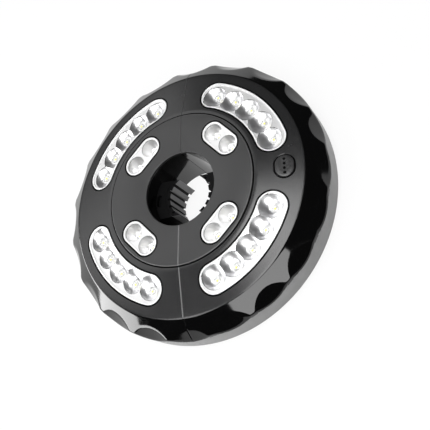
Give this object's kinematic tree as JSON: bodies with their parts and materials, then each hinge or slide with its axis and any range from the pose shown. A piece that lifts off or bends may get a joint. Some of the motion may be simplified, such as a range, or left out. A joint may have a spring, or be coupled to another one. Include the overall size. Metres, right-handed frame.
{
  "type": "patio umbrella light",
  "caption": "Round battery lamp in two hinged halves with a scalloped rim, clamped round a parasol pole by sprung ribbed jaws.",
  "frame": {"origin": "on the pole's axis, in the plane of the flat back that the lamp lies on", "axes": "+Z along the pole, out of the lamp face; +Y along the seam towards the hinge; +X into the half with the mode button"},
  "size_m": [0.1994, 0.1994, 0.0373],
  "materials": {
    "shell": "gloss black moulding",
    "hub": "satin dark grey",
    "back": "fine spark texture",
    "mirror": "vacuum metallised",
    "lamp": "white case with yellow phosphor",
    "board": "white solder mask",
    "button": "satin cap",
    "jaw": "moulded",
    "pad": "ribbed grip",
    "steel": "plated",
    "cell": "plain sleeve",
    "hook": "moulded"
  },
  "bodies": {
    "right_half": {"right_front_shell": "shell", "right_hub_plate": "hub", "right_back_cover": "back", "upper_right_reflector": "mirror", "lower_right_reflector": "mirror", "upper_right_hub_reflector": "mirror", "lower_right_hub_reflector": "mirror", "right_leds": "lamp", "right_led_board": "board", "right_jaw_springs": "steel", "right_cells": "cell", "right_contact_springs": "steel", "right_contact_plates": "steel", "right_hook_pin": "steel", "right_screws": "steel", "push_switch": "steel", "hinge_pin": "steel", "latch_keeper": "steel"},
    "left_half": {"left_front_shell": "shell", "left_hub_plate": "hub", "left_back_cover": "back", "upper_left_reflector": "mirror", "lower_left_reflector": "mirror", "upper_left_hub_reflector": "mirror", "lower_left_hub_reflector": "mirror", "left_leds": "lamp", "left_led_board": "board", "left_jaw_springs": "steel", "left_cells": "cell", "left_contact_springs": "steel", "left_contact_plates": "steel", "left_hook_pin": "steel", "left_screws": "steel", "latch_tongue": "steel"},
    "mode_button": {"mode_button": "button"},
    "right_jaw": {"right_jaw_carrier": "jaw", "right_jaw_pad": "pad"},
    "right_battery_door": {"right_battery_door": "back"},
    "right_hook": {"right_hook": "hook"},
    "left_jaw": {"left_jaw_carrier": "jaw", "left_jaw_pad": "pad"},
    "left_battery_door": {"left_battery_door": "back"},
    "left_hook": {"left_hook": "hook"}
  },
  "joints": [
    {"name": "halves_hinge", "type": "hinge", "parent": "right_half", "child": "left_half", "pos_m": [0, 0.0965, 0.00875], "axis": [0, 0, -1], "range_deg": [0, 45]},
    {"name": "mode_button_press", "type": "slide", "parent": "right_half", "child": "mode_button", "axis": [-0.2076, -0.0062, -0.9782], "range_m": [0, 0.0004], "stiffness_N_per_m": 600, "springref_m": -0.0005},
    {"name": "right_jaw_slide", "type": "slide", "parent": "right_half", "child": "right_jaw", "axis": [1, 0, 0], "range_m": [0, 0.008], "stiffness_N_per_m": 500, "springref_m": -0.006, "deforming": ["right_jaw_springs"]},
    {"name": "right_battery_door_hinge", "type": "hinge", "parent": "right_half", "child": "right_battery_door", "pos_m": [0.04665, 0, 0.00125], "axis": [0, 1, 0], "range_deg": [0, 90]},
    {"name": "right_hook_hinge", "type": "hinge", "parent": "right_half", "child": "right_hook", "pos_m": [0.036, -0.048, 0.002], "axis": [1, 0, 0], "range_deg": [0, 90]},
    {"name": "left_jaw_slide", "type": "slide", "parent": "left_half", "child": "left_jaw", "axis": [-1, 0, 0], "range_m": [0, 0.008], "stiffness_N_per_m": 500, "springref_m": -0.006, "deforming": ["left_jaw_springs"]},
    {"name": "left_battery_door_hinge", "type": "hinge", "parent": "left_half", "child": "left_battery_door", "pos_m": [-0.04665, 0, 0.00125], "axis": [0, -1, 0], "range_deg": [0, 90]},
    {"name": "left_hook_hinge", "type": "hinge", "parent": "left_half", "child": "left_hook", "pos_m": [-0.036, 0.048, 0.002], "axis": [-1, 0, 0], "range_deg": [0, 90]}
  ]
}
